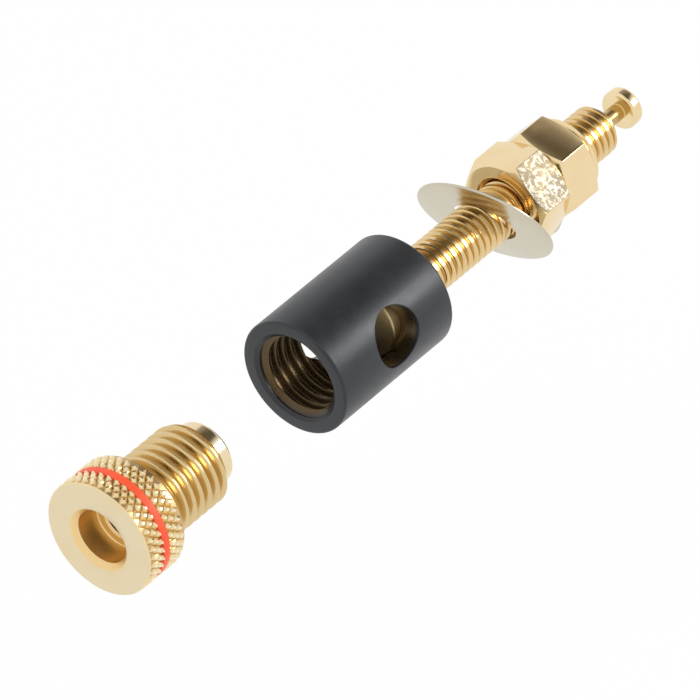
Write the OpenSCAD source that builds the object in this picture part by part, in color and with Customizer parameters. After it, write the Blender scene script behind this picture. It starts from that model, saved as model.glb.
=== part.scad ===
// Screw-down binding post: a drilled black body on a threaded stud, a knurled clamp screw with a plug
// socket, and the washer and two hex nuts that hold it in a panel.
// The origin is the centre of the body's back face, which seats on the panel. +Y runs along the stud,
// -Y towards the clamp screw, and +Z is up. The wire hole crosses the body along X.

/* [Body] */
// Diameter of the black body
body_d = 13.6; // [12:0.1:20]
// Length of the body, from its front face to the panel seat
body_len = 18.4; // [17.5:0.1:26]
// Chamfer on the body's two outer edges
body_edge = 0.25; // [0.1:0.05:0.6]
// Diameter of the wire hole that crosses the body
wire_hole_d = 6.6; // [4:0.1:7.4]
// Distance from the panel seat to the wire hole's axis
wire_hole_back = 8.8; // [7.6:0.1:11]
// Thickness of the body's wall behind the stud's head
back_wall = 2.0; // [1:0.1:3]

/* [Clamp thread] */
// Outside diameter of the clamp screw's thread
clamp_thread_d = 9.75; // [9:0.05:10.6]
// Radial play between the clamp screw's thread and the body's bore
thread_play = 0.125; // [0.05:0.005:0.3]
// Radial width of the countersink at the mouth of the body's bore
bore_mouth = 0.35; // [0.1:0.05:0.8]

/* [Clamp screw] */
// Diameter of the knurled head, over the knurl's points
head_d = 13.6; // [12:0.1:18]
// Length of the knurled head
head_len = 6.0; // [5.4:0.1:10]
// Width of the plain bevel round the head's front face
head_bevel = 0.3; // [0.1:0.05:0.5]
// Number of knurl grooves round the head in each direction
knurl_count = 40; // [24:1:48]
// Angle of the knurl's grooves to the head's axis
knurl_angle = 38; // [25:1:50]
// Depth of the knurl's grooves
knurl_depth = 0.35; // [0.1:0.01:0.5]
// Length of the threaded shank behind the head
shank_len = 9.7; // [8:0.1:11]
// Diameter of the plain nose that presses on the wire
nose_d = 7.4; // [5:0.1:8]
// Length of the nose
nose_len = 2.0; // [1:0.1:3]
// Gap between the head and the body at rest, with the screw taken out
screw_out = 26.4; // [14:0.1:40]

/* [Plug socket] */
// Diameter of the 4 mm plug's socket
socket_d = 4.1; // [4.02:0.01:4.5]
// Depth of the socket's floor below the head's face
socket_depth = 15.2; // [10:0.1:15.5]
// Diameter of the wide bore in front of the socket
lead_in_d = 6.3; // [5.5:0.1:7]
// Depth of the wide bore below the head's face
lead_in_depth = 3.65; // [2:0.05:5]
// Diameter of the countersink at the face
mouth_d = 7.3; // [7.1:0.1:8]
// Depth of the countersink
mouth_depth = 0.65; // [0.3:0.05:1]

/* [Marking ring] */
// Width of the coloured ring
ring_w = 1.0; // [0.6:0.05:1.6]
// Distance from the head's face to the middle of the ring
ring_at = 2.95; // [2:0.05:4]
// Thickness of the ring
ring_t = 0.75; // [0.4:0.05:1.2]
// Height of the knurl's points above the ring
ring_sunk = 0.1; // [0:0.05:0.3]
// Play of the ring in its groove, on every side
ring_play = 0.05; // [0.02:0.01:0.1]

/* [Stud] */
// Outside diameter of the stud's thread
stud_d = 5.9; // [5.5:0.05:6]
// Length of the stud behind the panel seat, up to the end of its thread
stud_len = 34.8; // [31:0.1:50]
// Chamfer at the end of the stud's thread
stud_chamfer = 0.7; // [0.2:0.05:1]
// Diameter of the stud's head inside the body
stud_head_d = 8.4; // [7.4:0.1:8.8]
// Length of the stud's head
stud_head_len = 4.8; // [3:0.1:5.2]
// Radial play of the stud and its head in the body
stud_play = 0.05; // [0.02:0.01:0.1]
// Diameter of the solder tail's neck
neck_d = 1.9; // [1.2:0.1:3]
// Length of the neck
neck_len = 3.4; // [2:0.1:6]
// Diameter of the solder tail's disc
tail_d = 4.6; // [3.2:0.1:4.9]
// Thickness of the disc
tail_t = 1.6; // [0.8:0.1:3]
// Edge rounding of the disc
tail_edge = 0.4; // [0.1:0.05:0.4]

/* [Washer] */
// Outside diameter of the washer
washer_d = 15.6; // [13:0.1:18]
// Diameter of the washer's hole
washer_hole_d = 7.2; // [7.15:0.05:8.5]
// Thickness of the washer
washer_t = 0.35; // [0.2:0.05:0.4]
// Lean of the loose washer on the stud
washer_lean = 30; // [15:1:30]

/* [Nuts] */
// Width of both nuts across their flats
nut_af = 10; // [9:0.1:11]
// Thickness of each nut
nut_t = 5.0; // [3:0.1:6]
// Angle of the chamfers on the nuts' corners
nut_chamfer_angle = 30; // [15:1:30]
// Diameter of the flat round face left on each nut by its chamfer
nut_face_d = 9.7; // [8.5:0.1:10]
// Radial play between the nuts' bores and the stud's thread
nut_play = 0.1; // [0.05:0.01:0.2]
// Depth of the countersinks in the nuts' bores
nut_sink = 0.45; // [0.1:0.05:0.8]
// Distance from the panel seat to the front face of the panel nut
nut_at = 17.6; // [16:0.1:22]
// Gap between the two nuts' faces
nut_gap = 0.04; // [0.02:0.01:0.1]
// Turn of the panel nut about the stud
panel_nut_turn = -5.7; // [-30:0.1:30]
// Turn of the terminal nut about the stud
terminal_nut_turn = 28.4; // [-30:0.1:30]

/* [Hidden] */

$fn = 96;
// What a cut or a core reaches past the surface it must clear
over = 1;

// Body
front_y = -body_len;
bore_r = clamp_thread_d / 2 + thread_play;
stud_face_y = -back_wall - stud_head_len;
seat_r = stud_head_d / 2 + stud_play;

// Clamp screw, taken out: where its head, face and nose lie
head_back_y = front_y - screw_out;
face_y = head_back_y - head_len;
shank_end_y = head_back_y + shank_len;
shank_r = clamp_thread_d / 2;
shank_chamfer = 0.6;
nose_y = shank_end_y + nose_len;
nose_round = 0.5;
socket_edge = 0.25;

// Knurl: half a pitch round the head, and half a pitch along it
knurl_half_turn = 180 / knurl_count;
knurl_row = PI * head_d / knurl_count / tan(knurl_angle) / 2;
knurl_len = head_len - head_bevel;
knurl_rows = max(2, round(knurl_len / knurl_row));
knurl_root_r = head_d / 2 - knurl_depth;
// The solid core inside the knurl reaches this far below the grooves' roots
core_drop = 0.1;

// Marking ring and its groove
ring_y = face_y + ring_at;
ring_out_r = head_d / 2 - ring_sunk;
ring_in_r = ring_out_r - ring_t;

// Nuts and washer
nut_bore_r = stud_d / 2 + nut_play;
terminal_nut_at = nut_at + nut_t + nut_gap;
nut_corner_r = nut_af / 2 / cos(30);
// The washer's back face leans just clear of the panel nut's lowest corner
washer_gap = 0.08;
washer_at = nut_at - nut_face_d / 2 * tan(washer_lean) - (nut_corner_r - nut_face_d / 2)
    * (tan(washer_lean) - tan(nut_chamfer_angle)) - washer_t / 2 / cos(washer_lean) - washer_gap;

// Turns a profile drawn as [radius, position along the post] into a solid about the Y axis.
module turned(profile) {
    rotate([-90, 0, 0]) rotate_extrude() polygon([for (p = profile) [p[0], p[1]]]);
}

// A plain round bar along Y.
module bar(r, from, to) {
    turned([[0, from], [r, from], [r, to], [0, to]]);
}

// The black body, with the threaded bore, the stud's seat, the stud's hole and the wire hole.
module terminal_body() {
    color([0.13, 0.13, 0.14]) difference() {
        turned([
            [0, front_y], [body_d / 2 - body_edge, front_y], [body_d / 2, front_y + body_edge],
            [body_d / 2, -body_edge], [body_d / 2 - body_edge, 0], [0, 0]
        ]);
        bar(bore_r, front_y - over, stud_face_y);
        turned([
            [0, front_y - over], [bore_r + bore_mouth + over, front_y - over],
            [bore_r, front_y + bore_mouth], [0, front_y + bore_mouth]
        ]);
        bar(seat_r, stud_face_y - over, -back_wall);
        bar(stud_d / 2 + stud_play, -back_wall - over, over);
        translate([0, -wire_hole_back, 0]) rotate([0, 90, 0])
            cylinder(d = wire_hole_d, h = body_d + 2 * over, center = true);
    }
}

// The stud: its head in the body, the threaded shank and the solder tail, turned from one bar.
module stud() {
    neck_y = stud_len + neck_len;
    color([0.86, 0.68, 0.34]) turned([
        [0, stud_face_y], [stud_head_d / 2, stud_face_y], [stud_head_d / 2, -back_wall],
        [stud_d / 2, -back_wall], [stud_d / 2, stud_len - stud_chamfer],
        [stud_d / 2 - stud_chamfer, stud_len], [neck_d / 2, stud_len],
        [neck_d / 2, neck_y], [tail_d / 2 - tail_edge, neck_y], [tail_d / 2, neck_y + tail_edge],
        [tail_d / 2, neck_y + tail_t - tail_edge], [tail_d / 2 - tail_edge, neck_y + tail_t],
        [0, neck_y + tail_t]
    ]);
}

// The knurl's surface as one closed shell: each diamond is a pyramid between four groove crossings.
module knurl() {
    columns = 2 * knurl_count;
    first_y = face_y + head_bevel;
    low_r = knurl_root_r;
    points = [
        [0, first_y, 0],
        [0, head_back_y, 0],
        for (row = [0 : knurl_rows]) for (column = [0 : columns - 1])
            let (
                end = row == 0 || row == knurl_rows,
                r = end || (row + column) % 2 == 0 ? low_r : head_d / 2,
                y = first_y + knurl_len * row / knurl_rows,
                turn = column * knurl_half_turn
            )
            [r * cos(turn), y, r * sin(turn)]
    ];
    function at(row, column) = 2 + row * columns + column % columns;
    faces = [
        for (column = [0 : columns - 1]) [0, at(0, column + 1), at(0, column)],
        for (column = [0 : columns - 1]) [1, at(knurl_rows, column), at(knurl_rows, column + 1)],
        for (row = [0 : knurl_rows - 1]) for (column = [0 : columns - 1])
            let (
                a = at(row, column), b = at(row, column + 1),
                c = at(row + 1, column + 1), d = at(row + 1, column)
            )
            each (row + column) % 2 == 0 ? [[a, b, c], [a, c, d]] : [[a, b, d], [b, c, d]]
    ];
    polyhedron(points, faces, convexity = 4);
}

// The clamp screw: knurled head with the ring's groove, threaded shank, plain nose and plug socket.
module clamp_screw() {
    groove_half = ring_w / 2 + ring_play;
    core_r = knurl_root_r - core_drop;
    color([0.88, 0.72, 0.42]) difference() {
        union() {
            turned([
                [0, face_y], [head_d / 2 - head_bevel, face_y],
                [head_d / 2 - head_bevel / 2, face_y + head_bevel / 2], [core_r, face_y + 2 * head_bevel],
                [core_r, head_back_y], [shank_r - shank_chamfer, head_back_y],
                [shank_r, head_back_y + shank_chamfer], [shank_r, shank_end_y - shank_chamfer],
                [shank_r - shank_chamfer, shank_end_y], [nose_d / 2, shank_end_y],
                [nose_d / 2, nose_y - nose_round], [nose_d / 2 - nose_round, nose_y], [0, nose_y]
            ]);
            knurl();
        }
        difference() {
            bar(head_d / 2 + over, ring_y - groove_half, ring_y + groove_half);
            bar(ring_in_r - ring_play, ring_y - groove_half - over, ring_y + groove_half + over);
        }
        turned([
            [0, face_y - over], [mouth_d / 2, face_y - over], [mouth_d / 2, face_y],
            [lead_in_d / 2, face_y + mouth_depth], [lead_in_d / 2, face_y + lead_in_depth],
            [socket_d / 2 + socket_edge, face_y + lead_in_depth],
            [socket_d / 2, face_y + lead_in_depth + socket_edge], [socket_d / 2, face_y + socket_depth],
            [0, face_y + socket_depth]
        ]);
    }
}

// The coloured ring that marks the terminal's polarity, loose in the head's groove.
module marking_ring() {
    color([0.93, 0.26, 0.16]) difference() {
        bar(ring_out_r, ring_y - ring_w / 2, ring_y + ring_w / 2);
        bar(ring_in_r, ring_y - ring_w / 2 - over, ring_y + ring_w / 2 + over);
    }
}

// The loose washer, leaning on the stud with its top towards the body.
module washer() {
    color([0.82, 0.76, 0.62]) translate([0, washer_at, 0]) rotate([washer_lean, 0, 0]) difference() {
        bar(washer_d / 2, -washer_t / 2, washer_t / 2);
        bar(washer_hole_d / 2, -washer_t / 2 - over, washer_t / 2 + over);
    }
}

// A hex nut with its front face at front_at, its corners chamfered and its bore countersunk.
module hex_nut(front_at, turn) {
    back_at = front_at + nut_t;
    clear_r = nut_corner_r + over;
    clear_bevel = (clear_r - nut_face_d / 2) * tan(nut_chamfer_angle);
    color([0.87, 0.74, 0.48]) difference() {
        intersection() {
            translate([0, front_at, 0]) rotate([-90, 0, 0]) rotate([0, 0, -turn])
                cylinder(r = nut_corner_r, h = nut_t, $fn = 6);
            turned([
                [0, front_at], [nut_face_d / 2, front_at], [clear_r, front_at + clear_bevel],
                [clear_r, back_at - clear_bevel], [nut_face_d / 2, back_at], [0, back_at]
            ]);
        }
        bar(nut_bore_r, front_at - over, back_at + over);
        turned([
            [0, front_at - over], [nut_bore_r + nut_sink + over, front_at - over],
            [nut_bore_r, front_at + nut_sink], [0, front_at + nut_sink]
        ]);
        turned([
            [0, back_at + over], [nut_bore_r + nut_sink + over, back_at + over],
            [nut_bore_r, back_at - nut_sink], [0, back_at - nut_sink]
        ]);
    }
}

// The nut that clamps the panel.
module panel_nut() {
    hex_nut(nut_at, panel_nut_turn);
}

// The nut that clamps the cable's terminal against the panel nut.
module terminal_nut() {
    hex_nut(terminal_nut_at, terminal_nut_turn);
}

terminal_body();
stud();
clamp_screw();
marking_ring();
washer();
panel_nut();
terminal_nut();
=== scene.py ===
"""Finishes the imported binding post: its turned, threaded and knurled pieces, their finishes, and the studio."""

import logging
import math
from dataclasses import dataclass
from enum import Enum
from itertools import pairwise
from typing import Any, Callable

import bpy
from mathutils import Matrix, Vector


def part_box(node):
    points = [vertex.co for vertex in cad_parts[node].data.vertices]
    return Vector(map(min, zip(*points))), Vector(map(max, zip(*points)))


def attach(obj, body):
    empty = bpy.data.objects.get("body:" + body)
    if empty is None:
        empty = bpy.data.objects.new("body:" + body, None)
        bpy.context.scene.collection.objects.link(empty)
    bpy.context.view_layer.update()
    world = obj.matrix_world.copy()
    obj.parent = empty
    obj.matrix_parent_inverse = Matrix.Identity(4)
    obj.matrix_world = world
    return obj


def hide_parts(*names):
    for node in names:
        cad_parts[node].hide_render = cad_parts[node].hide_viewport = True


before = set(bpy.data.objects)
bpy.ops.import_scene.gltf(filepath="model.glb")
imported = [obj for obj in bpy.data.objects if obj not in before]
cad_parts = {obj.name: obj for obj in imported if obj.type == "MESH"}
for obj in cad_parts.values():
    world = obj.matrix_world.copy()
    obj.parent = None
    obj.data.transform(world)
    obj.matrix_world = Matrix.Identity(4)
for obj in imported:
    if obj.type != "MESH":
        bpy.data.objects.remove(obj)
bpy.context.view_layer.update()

log = logging.getLogger("binding_post")

Point = tuple[float, float]
Color = tuple[float, float, float]

MM = 0.001
TURN = 2 * math.pi
# Pieces are shaped in millimetres, and corners closer than this are one
WELD = 1e-4
# What a cutter reaches past the surface it has to clear, in millimetres
OVER = 1.0
FINE_STEPS = 128


@dataclass(frozen=True)
class Span:
    """Where a turned CAD node lies along the post, in millimetres.

    Attributes:
        start: Its end towards the clamp screw's face.
        end: Its end towards the solder tail.
        radius: Its outside radius.
    """

    start: float
    end: float
    radius: float

    @classmethod
    def of(cls, node: str) -> "Span":
        """Measures a CAD node.

        Args:
            node: The node's name.

        Returns:
            Its span.
        """
        low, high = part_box(node)
        return cls(low.y / MM, high.y / MM, (high.z - low.z) / 2 / MM)

    @property
    def middle(self) -> float:
        """Half way between the two ends."""
        return (self.start + self.end) / 2


BODY = Span.of("terminal_body")
STUD = Span.of("stud")
SCREW = Span.of("clamp_screw")
RING = Span.of("marking_ring")


# ---------------------------------------------------------------- modelling


class Boolean(Enum):
    """How one closed shape changes another."""

    CUT = "DIFFERENCE"
    FUSE = "UNION"
    TRIM = "INTERSECT"


@dataclass(frozen=True)
class Thread:
    """A right-hand screw thread about the post, with rounded crests and roots.

    Attributes:
        crest: Radius of the crests.
        root: Radius of the roots.
        pitch: Advance for each turn.
        points: Corners on the outline of one turn.
        crest_flat: Share of the pitch that is crest.
        root_flat: Share of the pitch that is root.
    """

    crest: float
    root: float
    pitch: float
    points: int = 14
    crest_flat: float = 0.30
    root_flat: float = 0.10

    def height(self, share: float) -> float:
        """The outline's radius.

        Args:
            share: Distance from the crest's middle, in pitches, from -0.5 to 0.5.

        Returns:
            The radius there.
        """
        flank = (2 * abs(share) - self.crest_flat) / (1 - self.crest_flat - self.root_flat)
        fall = 0.5 - 0.5 * math.cos(math.pi * min(max(flank, 0.0), 1.0))
        return self.crest - (self.crest - self.root) * fall

    def outline(self, crest_at: float) -> list[Point]:
        """One turn's outline.

        Args:
            crest_at: Where its crest lies along the post.

        Returns:
            Points of [radius, position along the post], from root to root.
        """
        shares = [step / self.points - 0.5 for step in range(self.points + 1)]
        return [(self.height(share), crest_at + share * self.pitch) for share in shares]


def arc(center: Point, radius: float, start: float, end: float, steps: int = 5) -> list[Point]:
    """Points on an arc of an outline.

    Args:
        center: The arc's centre, as [radius, position along the post].
        radius: The arc's own radius.
        start: Angle of its first point in degrees, where 0 points outwards and 90 to the tail.
        end: Angle of its last point.
        steps: Segments on it.

    Returns:
        Its points in order.
    """
    angles = [math.radians(start + (end - start) * step / steps) for step in range(steps + 1)]
    return [(center[0] + radius * math.cos(a), center[1] + radius * math.sin(a)) for a in angles]


def pick(obj: bpy.types.Object) -> None:
    """Leaves one object selected and active, in object mode."""
    if bpy.context.object is not None and bpy.context.object.mode != "OBJECT":
        bpy.ops.object.mode_set(mode="OBJECT")
    bpy.ops.object.select_all(action="DESELECT")
    obj.select_set(True)
    bpy.context.view_layer.objects.active = obj


class Workpiece:
    """One closed mesh on the bench, shaped in millimetres about the post's axis."""

    def __init__(self, obj: bpy.types.Object) -> None:
        """Takes up an object.

        Args:
            obj: A mesh object at the origin.
        """
        self.obj = obj

    @classmethod
    def line(cls, points: list[Point]) -> "Workpiece":
        """Draws an open outline above the axis, one corner extruded from the last.

        Args:
            points: Corners as [radius, position along the post].

        Returns:
            The outline.
        """
        bpy.ops.object.select_all(action="DESELECT")
        bpy.ops.mesh.primitive_plane_add(size=OVER)
        piece = cls(bpy.context.object)
        bpy.ops.object.mode_set(mode="EDIT")
        bpy.ops.mesh.select_mode(type="VERT")
        bpy.ops.mesh.select_all(action="SELECT")
        bpy.ops.mesh.merge(type="CENTER")
        bpy.ops.transform.translate(value=(0, points[0][1], points[0][0]))
        for (r0, y0), (r1, y1) in pairwise(points):
            bpy.ops.mesh.extrude_region_move(TRANSFORM_OT_translate={"value": (0, y1 - y0, r1 - r0)})
        bpy.ops.object.mode_set(mode="OBJECT")
        return piece

    @classmethod
    def turned(cls, points: list[Point], steps: int = FINE_STEPS) -> "Workpiece":
        """Spins an outline round the axis.

        Args:
            points: The outline, from the axis round to the axis.
            steps: Segments round the axis.

        Returns:
            The closed solid.
        """
        piece = cls.line(points)
        bpy.ops.object.mode_set(mode="EDIT")
        bpy.ops.mesh.select_all(action="SELECT")
        bpy.ops.mesh.spin(steps=steps, angle=TURN, center=(0, 0, 0), axis=(0, 1, 0))
        piece.tidy()
        return piece

    @classmethod
    def bar(cls, radius: float, start: float, end: float) -> "Workpiece":
        """A plain round bar along the post."""
        return cls.turned([(0, start), (radius, start), (radius, end), (0, end)])

    @classmethod
    def threaded(cls, thread: Thread, start: float, end: float, steps: int = 96) -> "Workpiece":
        """Winds a thread's outline up the post and saws its ends square.

        Args:
            thread: The thread's form. A crest always crosses the plane x = 0 above the panel seat.
            start: Where the rod starts.
            end: Where it ends.
            steps: Segments round each turn.

        Returns:
            The closed rod.
        """
        first = math.floor(start / thread.pitch) - 1
        turns = math.ceil(end / thread.pitch) + 1 - first
        piece = cls.line(thread.outline(first * thread.pitch))
        bpy.ops.object.modifier_add(type="SCREW")
        screw = piece.obj.modifiers[-1]
        screw.axis = "Y"
        screw.angle = TURN
        screw.screw_offset = thread.pitch
        screw.iterations = turns
        screw.steps = screw.render_steps = steps
        screw.use_merge_vertices = True
        screw.merge_threshold = WELD
        bpy.ops.object.modifier_apply(modifier=screw.name)
        bpy.ops.object.mode_set(mode="EDIT")
        bpy.ops.mesh.select_all(action="SELECT")
        bpy.ops.mesh.remove_doubles(threshold=WELD)
        for place, far_side in ((start, False), (end, True)):
            bpy.ops.mesh.select_all(action="SELECT")
            bpy.ops.mesh.bisect(
                plane_co=(0, place, 0), plane_no=(0, 1, 0), use_fill=True,
                clear_inner=not far_side, clear_outer=far_side, threshold=WELD,
            )
        piece.tidy()
        return piece

    @classmethod
    def hexagon(cls, flats: float, start: float, end: float, turn: float) -> "Workpiece":
        """A length of hexagon bar.

        Args:
            flats: Width across its flats.
            start: Where it starts.
            end: Where it ends.
            turn: Its turn about the post from X towards Z, in degrees; at 0 two corners lie on the X axis.

        Returns:
            The bar.
        """
        bpy.ops.object.select_all(action="DESELECT")
        bpy.ops.mesh.primitive_cylinder_add(
            vertices=6, radius=flats / 2 / math.cos(TURN / 12), depth=end - start,
            location=(0, (start + end) / 2, 0),
            rotation=(-TURN / 4, 0, 0),
        )
        piece = cls(bpy.context.object)
        bpy.ops.object.transform_apply(location=True, rotation=True, scale=True)
        # the primitive has a corner on its own Y axis, which now points along -Z
        piece.turn(30 - turn, "Y", (0, 0, 0))
        return piece

    @classmethod
    def knurled(cls, root: float, tip: float, worn: float, start: float, end: float, grooves: int,
                rows: int) -> "Workpiece":
        """A bar under a diamond knurl: alternate corners of its grid are raised, and their points cut flat.

        Args:
            root: Radius at the grooves' crossings.
            tip: Radius over the flattened points.
            worn: What the points have lost.
            start: Where the knurl starts.
            end: Where it ends.
            grooves: Grooves round the bar in each direction.
            rows: Half diamonds along it.

        Returns:
            The knurled bar.
        """
        columns = 2 * grooves
        bpy.ops.object.select_all(action="DESELECT")
        bpy.ops.mesh.primitive_cylinder_add(
            vertices=columns, radius=root, depth=end - start, location=(0, (start + end) / 2, 0),
            rotation=(-TURN / 4, 0, 0),
        )
        piece = cls(bpy.context.object)
        bpy.ops.object.transform_apply(location=True, rotation=True, scale=True)
        piece.select_edges(lambda a, b: abs(a.y - b.y) > (end - start) / 2)
        bpy.ops.mesh.subdivide(number_cuts=rows - 1)
        step = (end - start) / rows

        def raised(corner: Vector) -> bool:
            """Whether a corner of the grid becomes a point."""
            row = round((corner.y - start) / step)
            column = round(math.atan2(corner.x, corner.z) / TURN * columns)
            return 0 < row < rows and (row + column) % 2 == 1

        piece.select_corners(raised)
        share = (tip + worn) / root
        bpy.ops.transform.resize(value=(share, 1, share), center_override=(0, 0, 0))
        piece.select_faces(lambda normal, middle: abs(normal.y) < 0.9)
        bpy.ops.mesh.quads_convert_to_tris(quad_method="SHORTEST_DIAGONAL")
        piece.select_corners(lambda corner: math.hypot(corner.x, corner.z) > tip)
        bpy.ops.mesh.bevel(
            offset_type="PERCENT", offset_pct=100 * worn / (tip + worn - root), affect="VERTICES"
        )
        bpy.ops.object.mode_set(mode="OBJECT")
        return piece

    def tidy(self) -> None:
        """Joins doubled corners, points every face outwards and goes back to object mode."""
        bpy.ops.mesh.select_all(action="SELECT")
        bpy.ops.mesh.remove_doubles(threshold=WELD)
        bpy.ops.mesh.normals_make_consistent(inside=False)
        bpy.ops.object.mode_set(mode="OBJECT")

    def select_corners(self, test: Callable[[Vector], bool]) -> None:
        """Selects the corners that pass a test, and enters edit mode."""
        bpy.ops.object.mode_set(mode="EDIT")
        bpy.ops.mesh.select_mode(type="VERT")
        bpy.ops.mesh.select_all(action="DESELECT")
        bpy.ops.object.mode_set(mode="OBJECT")
        for corner in self.obj.data.vertices:
            corner.select = test(corner.co)
        bpy.ops.object.mode_set(mode="EDIT")

    def select_edges(self, test: Callable[[Vector, Vector], bool]) -> None:
        """Selects the edges whose two ends pass a test, and enters edit mode."""
        bpy.ops.object.mode_set(mode="EDIT")
        bpy.ops.mesh.select_mode(type="EDGE")
        bpy.ops.mesh.select_all(action="DESELECT")
        bpy.ops.object.mode_set(mode="OBJECT")
        corners = self.obj.data.vertices
        for edge in self.obj.data.edges:
            edge.select = test(corners[edge.vertices[0]].co, corners[edge.vertices[1]].co)
        bpy.ops.object.mode_set(mode="EDIT")

    def select_faces(self, test: Callable[[Vector, Vector], bool]) -> None:
        """Selects the faces whose normal and middle pass a test, and enters edit mode."""
        bpy.ops.object.mode_set(mode="EDIT")
        bpy.ops.mesh.select_mode(type="FACE")
        bpy.ops.mesh.select_all(action="DESELECT")
        bpy.ops.object.mode_set(mode="OBJECT")
        for face in self.obj.data.polygons:
            face.select = test(face.normal, face.center)
        bpy.ops.object.mode_set(mode="EDIT")

    def turn(self, degrees: float, axis: str, about: tuple[float, float, float]) -> None:
        """Turns the piece about one of the frame's directions through a point.

        Args:
            degrees: The angle, by the right-hand rule.
            axis: "X", "Y" or "Z".
            about: The point.
        """
        pick(self.obj)
        spot = Vector(about)
        self.obj.matrix_world = (
            Matrix.Translation(spot) @ Matrix.Rotation(math.radians(degrees), 4, axis)
            @ Matrix.Translation(-spot) @ self.obj.matrix_world
        )
        bpy.ops.object.transform_apply(location=True, rotation=True, scale=True)

    def combine(self, tool: "Workpiece", how: Boolean) -> None:
        """Cuts, fuses or trims this piece with another, which is used up.

        Args:
            tool: The other piece.
            how: What is done.
        """
        pick(self.obj)
        bpy.ops.object.modifier_add(type="BOOLEAN")
        step = self.obj.modifiers[-1]
        step.operation = how.value
        step.solver = "EXACT"
        step.object = tool.obj
        bpy.ops.object.modifier_apply(modifier=step.name)
        bpy.data.objects.remove(tool.obj)

    def round_edges(self, width: float, angle: float) -> None:
        """Rounds every edge that is sharper than an angle.

        Args:
            width: The rounding's width.
            angle: The angle, in degrees.
        """
        pick(self.obj)
        bpy.ops.object.modifier_add(type="BEVEL")
        bevel = self.obj.modifiers[-1]
        bevel.limit_method = "ANGLE"
        bevel.angle_limit = math.radians(angle)
        bevel.width = width
        bevel.segments = 2
        bpy.ops.object.modifier_apply(modifier=bevel.name)

    def finished(self, name: str, finish: bpy.types.Material, smooth: float = 35) -> bpy.types.Object:
        """Takes the piece off the bench: names it, scales it to metres and dresses it.

        Args:
            name: The piece's name.
            finish: Its material.
            smooth: Edges below this angle in degrees are shaded smooth.

        Returns:
            The finished object.
        """
        pick(self.obj)
        bpy.ops.object.mode_set(mode="EDIT")
        bpy.ops.mesh.select_all(action="SELECT")
        bpy.ops.mesh.dissolve_degenerate(threshold=WELD)
        bpy.ops.object.mode_set(mode="OBJECT")
        self.obj.scale = (MM, MM, MM)
        bpy.ops.object.transform_apply(location=True, rotation=True, scale=True)
        bpy.ops.object.shade_smooth_by_angle(angle=math.radians(smooth))
        self.obj.name = name
        self.obj.data.name = name
        self.obj.data.materials.clear()
        self.obj.data.materials.append(finish)
        return self.obj


# ---------------------------------------------------------------- finishes


class Value:
    """A number in a node table. Python's operators on it add Math nodes."""

    def __init__(self, sheet: "Sheet", socket: bpy.types.NodeSocket) -> None:
        """Wraps a socket.

        Args:
            sheet: The node table that holds it.
            socket: An output socket with a number.
        """
        self.sheet = sheet
        self.socket = socket

    def _math(self, operation: str, *numbers: "Value | float", clamp: bool = False) -> "Value":
        """Adds a Math node on some numbers.

        Args:
            operation: The node's operation.
            numbers: Its inputs in order.
            clamp: Whether the result is held between 0 and 1.

        Returns:
            Its result.
        """
        settings = {"operation": operation, "use_clamp": clamp}
        return self.sheet.value("ShaderNodeMath", settings, dict(enumerate(numbers)))

    def __add__(self, other: "Value | float") -> "Value":
        """self + other."""
        return self._math("ADD", self, other)

    def __radd__(self, other: float) -> "Value":
        """other + self."""
        return self._math("ADD", other, self)

    def __sub__(self, other: "Value | float") -> "Value":
        """self - other."""
        return self._math("SUBTRACT", self, other)

    def __rsub__(self, other: float) -> "Value":
        """other - self."""
        return self._math("SUBTRACT", other, self)

    def __mul__(self, other: "Value | float") -> "Value":
        """self * other."""
        return self._math("MULTIPLY", self, other)

    def __rmul__(self, other: float) -> "Value":
        """other * self."""
        return self._math("MULTIPLY", other, self)

    def __pow__(self, other: float) -> "Value":
        """self ** other."""
        return self._math("POWER", self, other)

    def clamped(self) -> "Value":
        """The value held between 0 and 1."""
        return self._math("ADD", self, 0.0, clamp=True)

    def rise(self, low: float, high: float) -> "Value":
        """A smooth step from 0 at low to 1 at high.

        Args:
            low: Where the step starts.
            high: Where it ends. Below low, the step falls.

        Returns:
            The step.
        """
        return self.sheet.value(
            "ShaderNodeMapRange", {"interpolation_type": "SMOOTHSTEP"},
            {"Value": self, "From Min": low, "From Max": high},
        )

    def between(self, low: float, high: float, soft: float) -> "Value":
        """1 between two limits and 0 outside them.

        Args:
            low: The lower limit.
            high: The upper limit.
            soft: Half the width of each edge.

        Returns:
            The mask.
        """
        return self.rise(low - soft, low + soft) * self.rise(high + soft, high - soft)


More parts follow.
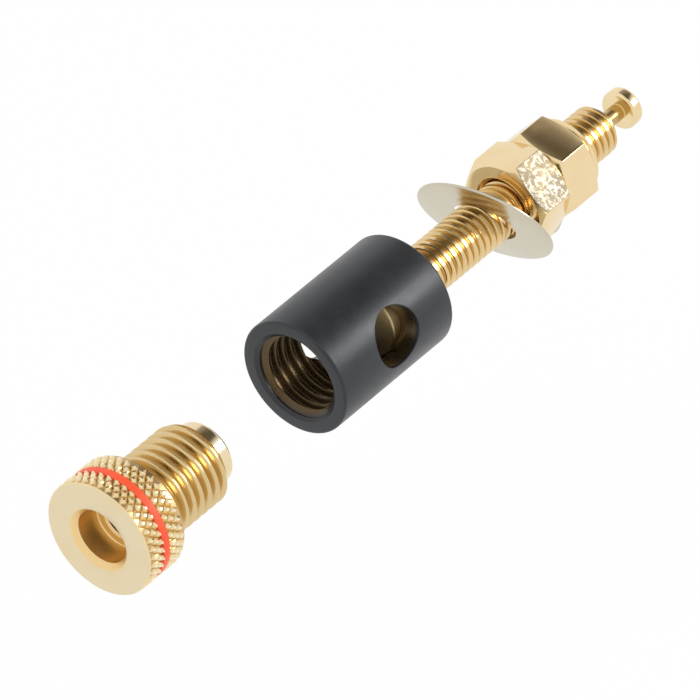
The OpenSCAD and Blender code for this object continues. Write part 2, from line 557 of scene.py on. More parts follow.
class Sheet:
    """A material's node table, with its Principled shader."""

    def __init__(self, name: str, constants: dict[str, Any] | None = None, lit: bool = True) -> None:
        """Starts a material.

        Args:
            name: The material's name.
            constants: What is the same all over, for sockets of the shader by name.
            lit: Whether it has the Principled shader, and places in millimetres. A card of the studio
                has neither.
        """
        self.material = bpy.data.materials.new(name)
        self.material.use_nodes = True
        self.tree = self.material.node_tree
        self.tree.nodes.clear()
        self.place = self.add("ShaderNodeTexCoord").outputs["Object"]
        if lit:
            self.shader = self.add("ShaderNodeBsdfPrincipled", {}, constants)
            self.surface(self.shader.outputs[0])
            self.place = self.add(
                "ShaderNodeVectorMath", {"operation": "SCALE"}, {0: self.place, "Scale": 1 / MM}
            ).outputs[0]
        parts = self.add("ShaderNodeSeparateXYZ", {}, {0: self.place})
        self.x, self.y, self.z = (Value(self, parts.outputs[axis]) for axis in "XYZ")
        self.radius = (self.x * self.x + self.z * self.z) ** 0.5

    def add(self, kind: str, settings: dict[str, Any] | None = None,
            sockets: dict[Any, Any] | None = None) -> bpy.types.Node:
        """Adds any node.

        Args:
            kind: The node's type.
            settings: Its own properties, which are set first.
            sockets: Numbers, colours, links or Values for its inputs, by name or index.

        Returns:
            The node.
        """
        node = self.tree.nodes.new(kind)
        for key, setting in (settings or {}).items():
            setattr(node, key, setting)
        for key, given in (sockets or {}).items():
            given = given.socket if isinstance(given, Value) else given
            if isinstance(given, bpy.types.NodeSocket):
                self.tree.links.new(given, node.inputs[key])
            elif isinstance(given, tuple) and node.inputs[key].type == "RGBA":
                node.inputs[key].default_value = (*given, 1.0)
            else:
                node.inputs[key].default_value = given
        return node

    def surface(self, shader: bpy.types.NodeSocket) -> None:
        """Makes a shader the material's surface."""
        self.add("ShaderNodeOutputMaterial", {}, {"Surface": shader})

    def value(self, kind: str, settings: dict[str, Any], sockets: dict[Any, Any]) -> Value:
        """Adds a node and wraps its first output."""
        return Value(self, self.add(kind, settings, sockets).outputs[0])

    def noise(self, scale: float, detail: float = 2.0, roughness: float = 0.5,
              place: Any = None) -> Value:
        """Noise from 0 to 1.

        Args:
            scale: Lumps for each millimetre.
            detail: Finer layers.
            roughness: Strength of the finer layers.
            place: Where it is read; the object's own millimetres if not given.

        Returns:
            The noise.
        """
        return self.value(
            "ShaderNodeTexNoise", {},
            {"Vector": self.place if place is None else place, "Scale": scale, "Detail": detail,
             "Roughness": roughness},
        )

    def vector(self, x: Any, y: Any, z: Any) -> bpy.types.NodeSocket:
        """A vector from three numbers."""
        return self.add("ShaderNodeCombineXYZ", {}, {0: x, 1: y, 2: z}).outputs[0]

    def mix(self, share: Value, first: Any, second: Any) -> bpy.types.NodeSocket:
        """Blends two colours.

        Args:
            share: 0 for the first, 1 for the second.
            first: A colour or a link.
            second: A colour or a link.

        Returns:
            The blended colour.
        """
        node = self.add("ShaderNodeMix", {"data_type": "RGBA"}, {"Factor": share})
        for socket, color in (("A", first), ("B", second)):
            target = [s for s in node.inputs if s.name == socket and s.type == "RGBA"][0]
            if isinstance(color, tuple):
                target.default_value = (*color, 1.0)
            else:
                self.tree.links.new(color, target)
        return [s for s in node.outputs if s.type == "RGBA"][0]

    def set(self, socket: str, given: Any) -> None:
        """Feeds one of the shader's sockets with a link or a Value."""
        given = given.socket if isinstance(given, Value) else given
        self.tree.links.new(given, self.shader.inputs[socket])

    def bump(self, height: Value, distance: float, strength: float = 1.0) -> None:
        """Feeds the shader's normal from a height.

        Args:
            height: The height, from 0 to 1.
            distance: What a height of 1 stands for, in millimetres.
            strength: Share of the effect.
        """
        self.set("Normal", self.add(
            "ShaderNodeBump", {}, {"Height": height, "Distance": distance * MM, "Strength": strength},
        ).outputs[0])

    def turning_marks(self, fineness: float) -> Value:
        """Fine marks round the post, as a lathe leaves them on faces and barrels.

        Args:
            fineness: Marks for each millimetre.

        Returns:
            Their height, from 0 to 1.
        """
        across = self.vector(self.radius, self.y, 0.0)
        return self.noise(fineness, 3.0, 0.6, across)


@dataclass(frozen=True)
class Zone:
    """One region of a plated piece.

    Attributes:
        mask: Gives the region on a sheet, as 1 inside and 0 outside.
        color: The plate's colour there.
        roughness: Its roughness there.
    """

    mask: Callable[[Sheet], Value]
    color: Color
    roughness: float


@dataclass(frozen=True)
class GoldPlate:
    """Bright gold plate on turned brass.

    Attributes:
        name: The material's name.
        color: The plate's colour.
        roughness: Its roughness.
        zones: Regions with another colour and roughness.
        marks: Depth of the turning marks, in millimetres.
        cloud: How much the colour drifts, as a share.
    """

    name: str
    color: Color
    roughness: float
    zones: tuple[Zone, ...] = ()
    marks: float = 0.004
    cloud: float = 0.10

    def build(self) -> bpy.types.Material:
        """Makes the material.

        Returns:
            It.
        """
        sheet = Sheet(self.name, {"Metallic": 1.0})
        color: Any = self.color
        rough: Any = self.roughness
        for zone in self.zones:
            mask = zone.mask(sheet)
            color = sheet.mix(mask, color, zone.color)
            rough = mask * (zone.roughness - rough) + rough
        drift = sheet.noise(0.35, 3.0)
        deep = tuple(c * (1 - self.cloud * w) for c, w in zip(self.color, (1.0, 1.4, 2.2)))
        color = sheet.mix(drift.rise(0.35, 0.8) * 0.35, color, deep)
        marks = sheet.turning_marks(22.0)
        specks = sheet.noise(3.2, 4.0, 0.7)
        sheet.set("Base Color", color)
        sheet.set("Roughness", (rough + (specks - 0.5) * 0.10 + (marks - 0.5) * 0.05).clamped())
        sheet.bump(marks * 0.6 + specks * 0.4, self.marks)
        return sheet.material


@dataclass(frozen=True)
class BlackCoat:
    """Satin black coating over brass, worn thin inside the bores.

    Attributes:
        name: The material's name.
        color: The coating's colour.
        bronze: The colour inside the bores.
        roughness: The coating's roughness.
    """

    name: str = "satin_black_coat"
    color: Color = (0.011, 0.013, 0.016)
    bronze: Color = (0.10, 0.066, 0.030)
    roughness: float = 0.36

    def build(self) -> bpy.types.Material:
        """Makes the material.

        Returns:
            It.
        """
        sheet = Sheet(self.name, {"IOR": 1.5})
        grain = sheet.noise(9.0, 4.0, 0.65)
        cloud = sheet.noise(0.5, 3.0)
        inside = sheet.radius.rise(BODY.radius - 0.4, BODY.radius - 0.7)
        inside = inside * sheet.y.rise(BODY.start + 0.3, BODY.start + 0.9)
        dust = sheet.noise(2.3, 2.0, 0.4).rise(0.74, 0.80)
        color = sheet.mix(cloud.rise(0.3, 0.75) * 0.35, self.color, tuple(c * 1.5 for c in self.color))
        color = sheet.mix(dust * 0.35, color, (0.10, 0.10, 0.105))
        color = sheet.mix(inside, color, self.bronze)
        sheet.set("Base Color", color)
        sheet.set("Metallic", inside * 0.75)
        rough = (grain - 0.5) * 0.40 + (cloud - 0.5) * 0.16 + self.roughness
        sheet.set("Roughness", (rough - inside * 0.10).clamped())
        sheet.bump(grain, 0.010)
        return sheet.material


@dataclass(frozen=True)
class RedEnamel:
    """Satin red ring.

    Attributes:
        name: The material's name.
        color: The ring's colour.
    """

    name: str = "red_enamel"
    color: Color = (0.90, 0.095, 0.026)

    def build(self) -> bpy.types.Material:
        """Makes the material.

        Returns:
            It.
        """
        sheet = Sheet(self.name, {"IOR": 1.4})
        cloud = sheet.noise(1.1, 3.0)
        grain = sheet.noise(7.0, 3.0)
        sheet.set("Base Color", sheet.mix(cloud.rise(0.3, 0.8) * 0.4, self.color, (0.80, 0.055, 0.016)))
        sheet.set("Roughness", (grain - 0.5) * 0.2 + 0.42)
        sheet.bump(grain, 0.012)
        return sheet.material


# ---------------------------------------------------------------- sub-assemblies


@dataclass
class Piece:
    """What every sub-assembly shares.

    Attributes:
        name: The finished object's name.
        node: The CAD node that it stands for.
        body: The CAD body that it moves with.
        slot: The record's material slot; not used.
    """

    name: str
    node: str
    body: str
    slot: str

    def shape(self) -> Workpiece:
        """Models the piece.

        Returns:
            The shaped piece.
        """
        raise NotImplementedError

    def finish(self) -> bpy.types.Material:
        """Makes the piece's material.

        Returns:
            It.
        """
        raise NotImplementedError

    def build(self) -> bpy.types.Object:
        """Models and dresses the piece, and ties it to the frame.

        Returns:
            The finished object.
        """
        obj = self.shape().finished(self.name, self.finish())
        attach(obj, self.body)
        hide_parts(self.node)
        log.info("%s: %d faces, rides on %s", self.name, len(obj.data.polygons), self.body)
        return obj


CLAMP_THREAD = Thread(crest=4.875, root=4.20, pitch=1.25, crest_flat=0.14)
STUD_THREAD = Thread(crest=2.95, root=2.52, pitch=1.0, crest_flat=0.42, root_flat=0.08)


@dataclass
class TerminalBody(Piece):
    """The black body, with its threaded bore, wire hole and seat for the stud.

    Attributes:
        edge: Rounding of its two outer edges.
        play: Radial play of the clamp screw's thread.
        mouth: Radius of the countersink at its front face.
        wire_hole: Radius of the wire hole.
        wire_hole_at: Position of the wire hole's axis along the post.
        wire_hole_rim: Rounding of the wire hole's edge.
        seat: Radius of the stud head's seat.
        stud_hole: Radius of the hole for the stud.
        back_wall: Thickness of the wall behind the stud's head.
    """

    edge: float = 0.28
    play: float = 0.125
    mouth: float = 5.35
    wire_hole: float = 3.3
    wire_hole_at: float = -8.8
    wire_hole_rim: float = 0.12
    seat: float = 4.25
    stud_hole: float = 3.0
    back_wall: float = 2.0

    def shape(self) -> Workpiece:
        """Models the body.

        Returns:
            It.
        """
        rim = BODY.radius - self.edge
        body = Workpiece.turned([
            (0, BODY.start),
            *arc((rim, BODY.start + self.edge), self.edge, -90, 0),
            *arc((rim, BODY.end - self.edge), self.edge, 0, 90),
            (0, BODY.end),
        ], steps=160)
        bore = Thread(CLAMP_THREAD.crest + self.play, CLAMP_THREAD.root + self.play, CLAMP_THREAD.pitch)
        body.combine(Workpiece.threaded(bore, BODY.start - OVER, STUD.start - 0.1), Boolean.CUT)
        body.combine(Workpiece.turned([
            (0, BODY.start - OVER), (self.mouth + OVER, BODY.start - OVER),
            (bore.root - 0.2, BODY.start + self.mouth - bore.root + 0.2),
            (0, BODY.start + self.mouth - bore.root + 0.2),
        ]), Boolean.CUT)
        body.combine(Workpiece.bar(self.seat, STUD.start - 0.3, -self.back_wall), Boolean.CUT)
        body.combine(Workpiece.bar(self.stud_hole, -self.back_wall - OVER, OVER), Boolean.CUT)
        body.combine(self.wire_hole_cutter(), Boolean.CUT)
        return body

    def wire_hole_cutter(self) -> Workpiece:
        """A cross bar that flares where it leaves the body, so that the hole's edge comes out rounded.

        Returns:
            The cutter, across the body along X.
        """
        rim, reach = self.wire_hole_rim, BODY.radius
        wide = self.wire_hole + 2 * rim
        side = [
            (self.wire_hole, 0.5), *arc((self.wire_hole + rim, reach - rim), rim, 180, 90, 6),
            (wide, reach), (wide, reach + OVER),
        ]
        outline = [(0, -reach - OVER), *((r, -y) for r, y in reversed(side)), *side, (0, reach + OVER)]
        cutter = Workpiece.turned(outline, steps=96)
        cutter.turn(-90, "Z", (0, 0, 0))
        # the body falls away above and below the hole's axis, and the flare follows it
        for corner in cutter.obj.data.vertices:
            drop = reach - math.sqrt(max(reach ** 2 - corner.co.z ** 2, 0.0))
            if abs(corner.co.x) > 1:
                corner.co.x -= math.copysign(drop, corner.co.x)
        cutter.obj.location.y = self.wire_hole_at
        pick(cutter.obj)
        bpy.ops.object.transform_apply(location=True, rotation=True, scale=True)
        return cutter

    def finish(self) -> bpy.types.Material:
        """Satin black, and bronze inside the bores."""
        return BlackCoat().build()


@dataclass
class Stud(Piece):
    """The stud: its head in the body, the thread, the solder tail's neck and disc.

    Attributes:
        head: Radius of its head.
        head_end: Position of the head's back, against the body's wall.
        land: Length of the plain stretch behind the panel seat.
        thread_end: Position of the thread's end.
        chamfer: Chamfer on the thread's end.
        neck: Radius of the neck.
        disc: Radius of the disc.
        disc_start: Position of the disc's front.
        disc_edge: Rounding of the disc's edges.
    """

    head: float = 4.2
    head_end: float = -2.0
    land: float = 1.1
    thread_end: float = 34.8
    chamfer: float = 0.7
    neck: float = 0.95
    disc: float = 2.3
    disc_start: float = 38.2
    disc_edge: float = 0.4

    def shape(self) -> Workpiece:
        """Models the stud.

        Returns:
            It.
        """
        thread = STUD_THREAD
        core = thread.root - 0.2
        top = thread.crest
        soft = 0.25
        stud = Workpiece.turned([
            (0, STUD.start), *arc((self.head - soft, STUD.start + soft), soft, -90, 0),
            (self.head, self.head_end), (top, self.head_end), (top, self.land),
            (core, self.land + top - core),
            (core, self.thread_end), (self.neck + 0.15, self.thread_end),
            *arc((self.neck + 0.15, self.thread_end + 0.15), 0.15, 270, 180, 3),
            (self.neck, self.disc_start),
            *arc((self.disc - self.disc_edge, self.disc_start + self.disc_edge), self.disc_edge, -90, 0),
            *arc((self.disc - self.disc_edge, STUD.end - self.disc_edge), self.disc_edge, 0, 90),
            (0, STUD.end),
        ], steps=96)
        rod = Workpiece.threaded(thread, self.land - 0.3, self.thread_end + 0.5)
        rod.combine(Workpiece.turned([
            (0, self.land - 0.2), (top - 0.1, self.land - 0.2), (top + 0.3, self.land + 0.1),
            (top + 0.3, self.thread_end - self.chamfer - 0.3), (top - self.chamfer, self.thread_end),
            (0, self.thread_end),
        ], steps=96), Boolean.TRIM)
        stud.combine(rod, Boolean.FUSE)
        return stud

    def finish(self) -> bpy.types.Material:
        """Gold plate, with painted shade in the thread roots and the neck, a rougher head darkened with painted
        shade inside the body, and polished on the tail.
        """
        end = self.thread_end
        tail = Zone(lambda s: s.y.rise(end - 0.1, end + 0.1), (0.86, 0.70, 0.42), 0.10)
        # The head's higher roughness is its dull plate; its darker olive colour is painted shade, for its place
        # deep inside the body's bore.
        head = Zone(lambda s: s.y.rise(-0.6, -1.0), (0.50, 0.40, 0.22), 0.38)
        # Painted shade: the thread roots are darker, browner gold for the shade between the crests.
        root = Zone(
            lambda s: s.radius.rise(STUD_THREAD.crest - 0.12, STUD_THREAD.root) * s.y.between(0, end, 0.1),
            (0.66, 0.44, 0.17), 0.26,
        )
        # Painted shade: the narrow neck between the thread and the disc is darker gold for the shade in that
        # waist.
        neck = Zone(
            lambda s: (
                s.radius.rise(self.neck + 0.3, self.neck + 0.1)
                * s.y.between(end, self.disc_start - 0.1, 0.1)
            ),
            (0.50, 0.34, 0.13), 0.14,
        )
        return GoldPlate("gold_stud_plate", (0.76, 0.56, 0.28), 0.17, (root, tail, neck, head)).build()


@dataclass
class ClampScrew(Piece):
    """The clamp screw: knurled head, relief, thread, plain nose and stepped plug socket.

    Attributes:
        head_length: Length of the head.
        bevel: Plain bevel round the face.
        grooves: Knurl grooves round the head in each direction.
        knurl_rows: Half diamonds along the head.
        knurl_depth: Depth of the knurl.
        knurl_worn: What the diamonds' points have lost.
        relief: Radius of the plain relief behind the head.
        relief_length: Its length.
        shank_length: Length of relief and thread together.
        nose: Radius of the nose.
        nose_round: Rounding of its edge.
        groove_play: Play of the ring in its groove.
        groove_floor: Radius of the groove's floor.
        mouth: Radius of the socket's mouth.
        mouth_depth: Depth of the mouth's cone.
        lead_in: Radius of the lead-in behind it.
        lead_in_depth: Depth of the lead-in's floor.
        socket: Radius of the plug's socket.
        socket_depth: Depth of the socket.
    """

    head_length: float = 6.0
    bevel: float = 0.3
    grooves: int = 40
    knurl_rows: int = 8
    knurl_depth: float = 0.35
    knurl_worn: float = 0.13
    relief: float = 4.12
    relief_length: float = 1.5
    shank_length: float = 9.7
    nose: float = 3.7
    nose_round: float = 0.5
    groove_play: float = 0.05
    groove_floor: float = 5.9
    mouth: float = 3.65
    mouth_depth: float = 0.65
    lead_in: float = 3.15
    lead_in_depth: float = 3.65
    socket: float = 2.05
    socket_depth: float = 15.2

    @property
    def head_end(self) -> float:
        """Position of the head's back face."""
        return SCREW.start + self.head_length

    @property
    def shank_end(self) -> float:
        """Position of the thread's end."""
        return self.head_end + self.shank_length

    def shape(self) -> Workpiece:
        """Models the clamp screw.

        Returns:
            It.
        """
        face, back, end = SCREW.start, self.head_end, self.shank_end
        tip, root = SCREW.radius, SCREW.radius - self.knurl_depth
        soft = 0.12
        knurl = Workpiece.knurled(
            root, tip, self.knurl_worn, face + self.bevel, back, self.grooves, self.knurl_rows
        )
        core = CLAMP_THREAD.root - 0.3
        blank = Workpiece.turned([
            (0, face), *arc((tip - self.bevel, face + soft), soft, -90, -30, 3),
            (tip - 0.08, face + self.bevel * 0.6), (tip - 0.10, face + self.bevel * 0.9),
            (root - 0.15, face + 2 * self.bevel), (root - 0.15, back - 0.15), (root - 0.3, back),
            (self.relief + 0.3, back), *arc((self.relief + 0.3, back + 0.3), 0.3, 270, 180, 4),
            (self.relief, back + self.relief_length), (core, back + self.relief_length + 0.3),
            (core, end - 0.2), (self.nose, end - 0.2),
            *arc((self.nose - self.nose_round, SCREW.end - self.nose_round), self.nose_round, 0, 90, 6),
            (0, SCREW.end),
        ])
        blank.combine(knurl, Boolean.FUSE)
        blank.combine(self.groove_cutter(), Boolean.CUT)
        thread = Workpiece.threaded(CLAMP_THREAD, back + self.relief_length - 0.6, end)
        reach = CLAMP_THREAD.crest + 0.2
        thread.combine(Workpiece.turned([
            (0, back + self.relief_length - 0.5), (self.relief - 0.15, back + self.relief_length - 0.5),
            (reach, back + self.relief_length + 0.3), (reach, end - 0.7), (reach - 0.85, end - 0.001),
            (0, end - 0.001),
        ]), Boolean.TRIM)
        blank.combine(thread, Boolean.FUSE)
        blank.combine(self.socket_cutter(), Boolean.CUT)
        return blank

    def groove_cutter(self) -> Workpiece:
        """A ring that cuts the marking ring's groove.

        Returns:
            The cutter.
        """
        half = (RING.end - RING.start) / 2 + self.groove_play
        cutter = Workpiece.bar(SCREW.radius + OVER, RING.middle - half, RING.middle + half)
        floor = Workpiece.bar(self.groove_floor, RING.middle - half - OVER, RING.middle + half + OVER)
        cutter.combine(floor, Boolean.CUT)
        return cutter

    def socket_cutter(self) -> Workpiece:
        """The stepped bore for a 4 mm plug.

        Returns:
            The cutter.
        """
        face = SCREW.start
        step = face + self.lead_in_depth
        soft = 0.12
        return Workpiece.turned([
            (0, face - OVER), (self.mouth + 0.1, face - OVER), (self.mouth + 0.1, face),
            (self.mouth, face + 0.06), (self.lead_in, face + self.mouth_depth), (self.lead_in, step - soft),
            (self.lead_in - soft, step), (self.socket + 2 * soft, step), (self.socket, step + 2 * soft),
            (self.socket, face + self.socket_depth), (0, face + self.socket_depth + 1.2),
        ])

    def finish(self) -> bpy.types.Material:
        """Gold plate: satin face, knurl with painted shade in its valleys and a painted highlight on its points,
        shank darkened with painted shade, most in the thread roots, socket in painted orange bounce light,
        polished nose.
        """
        face, back, end = SCREW.start, self.head_end, self.shank_end
        root = SCREW.radius - self.knurl_depth
        zones = (
            # Painted shade: the shank is darker gold than the head, and the next zone darkens the thread roots
            # further, for the shade and dark reflections along the thread.
            Zone(lambda s: s.y.between(back + 0.2, end, 0.1), (0.70, 0.52, 0.26), 0.18),
            Zone(
                lambda s: (
                    s.radius.rise(CLAMP_THREAD.crest - 0.15, CLAMP_THREAD.root)
                    * s.y.between(back, end, 0.1)
                ),
                (0.56, 0.38, 0.15), 0.24,
            ),
            Zone(lambda s: s.y.rise(end - 0.05, end + 0.05), (0.84, 0.72, 0.48), 0.09),
            # Painted shade: the knurl's valleys are darker, browner gold for the shade between the diamonds.
            Zone(
                lambda s: s.radius.rise(root + 0.16, root) * s.y.between(face + self.bevel, back, 0.05),
                (0.62, 0.42, 0.20), 0.30,
            ),
            # Painted highlight: everything out at the knurl's points is paler, near-white gold for the light that
            # the points catch.
            Zone(lambda s: s.radius.rise(SCREW.radius - 0.07, SCREW.radius - 0.02), (0.97, 0.88, 0.68), 0.16),
            Zone(lambda s: s.y.rise(face + 0.12, face + 0.02), (0.80, 0.68, 0.46), 0.34),
            # The socket and its mouth cone are a rougher plate, and their more orange gold is painted bounce
            # light inside the bore.
            Zone(
                lambda s: s.radius.rise(self.mouth + 0.10, self.mouth + 0.02) * s.y.rise(end, end - 1),
                (0.88, 0.64, 0.30), 0.40,
            ),
        )
        return GoldPlate("gold_clamp_plate", (0.86, 0.68, 0.38), 0.15, zones).build()


@dataclass
class MarkingRing(Piece):
    """The red ring in the head's groove.

    Attributes:
        sunk: How far its face lies inside the CAD ring's.
        inner: Its inside radius.
        edge: Rounding of its edges.
    """

    sunk: float = 0.01
    inner: float = 5.95
    edge: float = 0.08

    def shape(self) -> Workpiece:
        """Models the ring.

        Returns:
            It.
        """
        outer = RING.radius - self.sunk
        edge = self.edge
        ring = Workpiece.turned([
            (0, RING.start),
            *arc((outer - edge, RING.start + edge), edge, -90, 0, 3),
            *arc((outer - edge, RING.end - edge), edge, 0, 90, 3),
            (0, RING.end),
        ], steps=160)
        ring.combine(Workpiece.bar(self.inner, RING.start - OVER, RING.end + OVER), Boolean.CUT)
        return ring

    def finish(self) -> bpy.types.Material:
        """Red enamel."""
        return RedEnamel().build()


@dataclass
class Washer(Piece):
    """The thin washer that leans on the stud.

    Attributes:
        outer: Its outside radius.
        inner: Its hole's radius.
        thickness: Its thickness.
        lean: Its lean about X, in degrees.
    """

    outer: float = 7.8
    inner: float = 3.6
    thickness: float = 0.35
    lean: float = 30.0

    def shape(self) -> Workpiece:
        """Models the washer.

        Returns:
            It.
        """
        middle = Span.of(self.node).middle
        half, edge = self.thickness / 2, 0.09
        washer = Workpiece.turned([
            (0, middle - half),
            *arc((self.outer - edge, middle - half + edge), edge, -90, 0, 3),
            *arc((self.outer - edge, middle + half - edge), edge, 0, 90, 3),
            (0, middle + half),
        ], steps=160)
        washer.combine(Workpiece.bar(self.inner, middle - OVER, middle + OVER), Boolean.CUT)
        washer.round_edges(0.06, 40)
        washer.turn(self.lean, "X", (0, middle, 0))
        return washer

    def finish(self) -> bpy.types.Material:
        """Pale plate."""
        return GoldPlate("pale_washer_plate", (0.60, 0.55, 0.43), 0.20, marks=0.003).build()


@dataclass
class HexNut(Piece):
    """A hex nut with chamfered corners and a countersunk, threaded bore.

    Attributes:
        turned_by: Its turn about the post, in degrees.
        scuff_and_sheen: Whether the flat towards +X has a scuff and a painted highlight.
        flats: Width across its flats.
        face: Radius of the flat round face that the chamfer leaves.
        slope: Angle of the chamfers, in degrees.
        bore: Radius of its bore.
        sink: Depth of the countersinks.
    """

    turned_by: float = 0.0
    scuff_and_sheen: bool = False
    flats: float = 10.0
    face: float = 4.85
    slope: float = 30.0
    bore: float = 3.05
    sink: float = 0.45

    def shape(self) -> Workpiece:
        """Models the nut.

        Returns:
            It.
        """
        low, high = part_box(self.node)
        start, end = low.y / MM, high.y / MM
        nut = Workpiece.hexagon(self.flats, start, end, self.turned_by)
        reach = self.flats / 2 / math.cos(TURN / 12) + OVER
        fall = (reach - self.face) * math.tan(math.radians(self.slope))
        nut.combine(Workpiece.turned([
            (0, start), (self.face, start), (reach, start + fall),
            (reach, end - fall), (self.face, end), (0, end),
        ]), Boolean.TRIM)
        nut.round_edges(0.09, 14)
        nut.combine(Workpiece.bar(self.bore, start - OVER, end + OVER), Boolean.CUT)
        for face, inward in ((start, 1), (end, -1)):
            outside = face - inward * OVER
            inside = face + inward * (self.sink + 0.1)
            nut.combine(Workpiece.turned([
                (0, outside), (self.bore + self.sink + OVER, outside), (self.bore - 0.1, inside), (0, inside),
            ]), Boolean.CUT)
        return nut

    def finish(self) -> bpy.types.Material:
        """Gold plate, darker orange round the bore as painted shade, and on one flat of the panel nut a scuff
        whose greyer tone and lighter spots are a painted highlight.
        """
        # Painted shade: the bore and countersinks are darker, more orange gold for the shade and warm bounced
        # light inside them.
        inner = Zone(lambda s: s.radius.rise(self.bore + 0.5, self.bore + 0.35), (0.80, 0.54, 0.22), 0.2)
        zones = (inner,)
        if self.scuff_and_sheen:
            # Painted highlight: the flat's roughness is a real scuff, but its greyer, duller tone and lighter
            # spots are painted so that the lamp's reflection there comes out as a sparkling cream highlight.
            zones += (
                Zone(self.scuff_and_sheen_flat, (0.36, 0.31, 0.22), 0.62),
                Zone(self.painted_glint_flecks, (0.60, 0.55, 0.46), 0.52),
            )
        return GoldPlate(f"gold_{self.node}_plate", (0.86, 0.68, 0.40), 0.13, zones, marks=0.003).build()

    def scuff_and_sheen_flat(self, sheet: Sheet) -> Value:
        """The flat that faces between +X and +Z.

        Args:
            sheet: The nut's node table.

        Returns:
            Its mask.
        """
        facing = math.radians(self.turned_by + 30)
        out = sheet.x * math.cos(facing) + sheet.z * math.sin(facing)
        return out.rise(self.flats / 2 - 0.12, self.flats / 2 - 0.04)

    def painted_glint_flecks(self, sheet: Sheet) -> Value:
        """Lighter spots on that flat, painted glints of its sparkling highlight.

        Args:
            sheet: The nut's node table.

        Returns:
            Their mask.
        """
        return self.scuff_and_sheen_flat(sheet) * sheet.noise(1.9, 5.0, 0.72).rise(0.47, 0.56)


# ---------------------------------------------------------------- studio


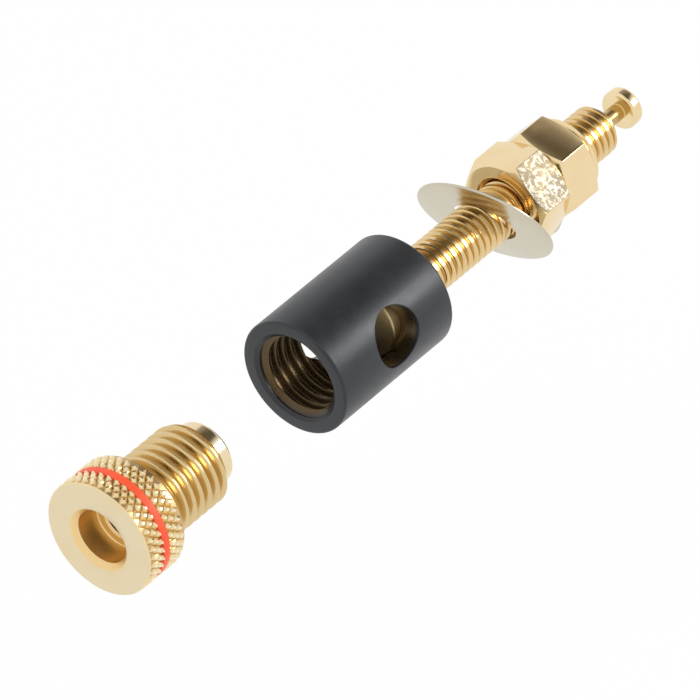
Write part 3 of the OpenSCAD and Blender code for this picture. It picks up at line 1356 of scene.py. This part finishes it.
@dataclass
class Studio:
    """The camera, the lamps, the cards that metal mirrors, and the white floor.

    Attributes:
        azimuth: Camera's angle round the post, in degrees; 0 looks along +Y.
        elevation: Camera's angle above the horizon.
        roll: Camera's roll about its own line of sight, in degrees.
        distance: From the aim to the camera, in millimetres.
        aim: Point that the camera looks at, in millimetres.
        lens: Focal length, for a 36 mm wide sensor.
        floor: Height of the floor, in millimetres.
        shadow: Strength of the shadow on the floor.
    """

    azimuth: float = 48.06
    elevation: float = 24.93
    roll: float = -18.83
    distance: float = 937.2
    aim: tuple[float, float, float] = (4.015, -13.347, 0.838)
    lens: float = 462.86
    floor: float = -32.0
    shadow: float = 0.06

    @staticmethod
    def direction(azimuth: float, elevation: float) -> Vector:
        """Points from the object to where an azimuth and an elevation lie."""
        a, e = math.radians(azimuth), math.radians(elevation)
        return Vector((math.sin(a) * math.cos(e), -math.cos(a) * math.cos(e), math.sin(e)))

    def camera(self) -> None:
        """Sets up the camera."""
        back = self.direction(self.azimuth, self.elevation)
        turn = back.to_track_quat("Z", "Y").to_matrix().to_4x4()
        turn = turn @ Matrix.Rotation(math.radians(self.roll), 4, "Z")
        data = bpy.data.cameras.new("camera")
        data.lens = self.lens
        data.sensor_width = 36.0
        data.clip_end = 10.0
        obj = bpy.data.objects.new("camera", data)
        obj.matrix_world = Matrix.Translation((Vector(self.aim) + self.distance * back) * MM) @ turn
        bpy.context.scene.collection.objects.link(obj)
        bpy.context.scene.camera = obj

    def lamp(self, name: str, azimuth: float, elevation: float, size: Point, brightness: float,
             away: float = 0.6) -> None:
        """Adds a soft box that faces the object.

        Args:
            name: Its name.
            azimuth: Its direction round the post, in degrees.
            elevation: Its direction above the horizon.
            size: Its width and height, in metres.
            brightness: Its own brightness, where 1 is white.
            away: Its distance, in metres.
        """
        back = self.direction(azimuth, elevation)
        data = bpy.data.lights.new(name, "AREA")
        data.shape = "RECTANGLE"
        data.size, data.size_y = size
        data.energy = brightness * math.pi * size[0] * size[1]
        obj = bpy.data.objects.new(name, data)
        obj.matrix_world = Matrix.Translation(away * back) @ back.to_track_quat("Z", "Y").to_matrix().to_4x4()
        obj.visible_camera = False
        bpy.context.scene.collection.objects.link(obj)

    def card(self, name: str, azimuth: float, elevation: float, size: Point, shade: Color,
             away: float = 0.45) -> None:
        """Adds a card with soft edges that only mirrors show.

        Args:
            name: Its name.
            azimuth: Its direction round the post, in degrees.
            elevation: Its direction above the horizon.
            size: Its width and height, in metres.
            shade: Its brightness, where 1 is white.
            away: Its distance, in metres.
        """
        back = self.direction(azimuth, elevation)
        bpy.ops.object.select_all(action="DESELECT")
        bpy.ops.mesh.primitive_plane_add(size=1)
        obj = bpy.context.object
        obj.name = name
        obj.matrix_world = (
            Matrix.Translation(away * back) @ back.to_track_quat("Z", "Y").to_matrix().to_4x4()
            @ Matrix.Diagonal((size[0], size[1], 1, 1))
        )
        sheet = Sheet(name, lit=False)
        half, soft = 0.5, 0.16
        cover = (
            sheet.x.between(soft - half, half - soft, soft) * sheet.y.between(soft - half, half - soft, soft)
        )
        clear = sheet.add("ShaderNodeBsdfTransparent").outputs[0]
        glow = sheet.add("ShaderNodeEmission", {}, {"Color": shade}).outputs[0]
        sheet.surface(sheet.add("ShaderNodeMixShader", {}, {0: cover, 1: clear, 2: glow}).outputs[0])
        obj.data.materials.append(sheet.material)
        obj.visible_camera = False
        obj.visible_diffuse = False
        obj.visible_shadow = False

    def floor_plane(self) -> None:
        """Lays the white floor, which keeps a faint shadow."""
        bpy.ops.object.select_all(action="DESELECT")
        bpy.ops.mesh.primitive_circle_add(
            vertices=96, radius=3.0, fill_type="NGON", location=(0, 0, self.floor * MM)
        )
        obj = bpy.context.object
        obj.name = "floor"
        sheet = Sheet("white_floor", lit=False)
        path = sheet.add("ShaderNodeLightPath").outputs
        seen = Value(sheet, path["Is Camera Ray"]) + Value(sheet, path["Is Glossy Ray"])
        seen = (seen + Value(sheet, path["Is Transmission Ray"])).clamped() * (1 - self.shadow)
        glow = sheet.add("ShaderNodeEmission", {}, {"Color": (1.0, 1.0, 1.0)}).outputs[0]
        paper = sheet.add("ShaderNodeBsdfDiffuse", {}, {"Color": (0.9, 0.9, 0.9)}).outputs[0]
        sheet.surface(sheet.add("ShaderNodeMixShader", {}, {0: seen, 1: paper, 2: glow}).outputs[0])
        obj.data.materials.append(sheet.material)

    def world(self) -> None:
        """Makes the world plain white all round."""
        world = bpy.data.worlds.new("white_room")
        world.use_nodes = True
        tree = world.node_tree
        tree.nodes.clear()
        sky = tree.nodes.new("ShaderNodeBackground")
        sky.inputs["Color"].default_value = (1, 1, 1, 1)
        sky.inputs["Strength"].default_value = 1.0
        output = tree.nodes.new("ShaderNodeOutputWorld")
        tree.links.new(sky.outputs[0], output.inputs["Surface"])
        bpy.context.scene.world = world

    def build(self) -> None:
        """Sets up everything but the object."""
        self.camera()
        self.world()
        self.floor_plane()
        self.lamp("softbox", 129, 12, (0.26, 0.22), 7.5)
        self.card("high_card", 146, 50, (0.50, 0.40), (0.13, 0.11, 0.085))
        self.card("side_card", 186, 50, (0.34, 0.40), (0.34, 0.30, 0.26), away=0.5)
        scene = bpy.context.scene
        scene.view_settings.view_transform = "Standard"


def main() -> None:
    """Builds the studio and every piece."""
    logging.basicConfig(level=logging.INFO, format="%(name)s: %(message)s")
    Studio().build()
    pieces: list[Piece] = [
        TerminalBody("body_shell", "terminal_body", "post", "black_body"),
        Stud("threaded_stud", "stud", "post", "gold_stud"),
        ClampScrew("knurled_clamp_screw", "clamp_screw", "clamp", "gold_clamp_screw"),
        MarkingRing("red_marking_ring", "marking_ring", "ring", "red_ring"),
        Washer("leaning_washer", "washer", "washer", "pale_washer"),
        HexNut("front_hex_nut", "panel_nut", "panel_nut", "gold_nut", turned_by=-5.7, scuff_and_sheen=True),
        HexNut("back_hex_nut", "terminal_nut", "terminal_nut", "gold_nut", turned_by=28.4),
    ]
    for piece in pieces:
        piece.build()


if __name__ == "__main__":
    main()
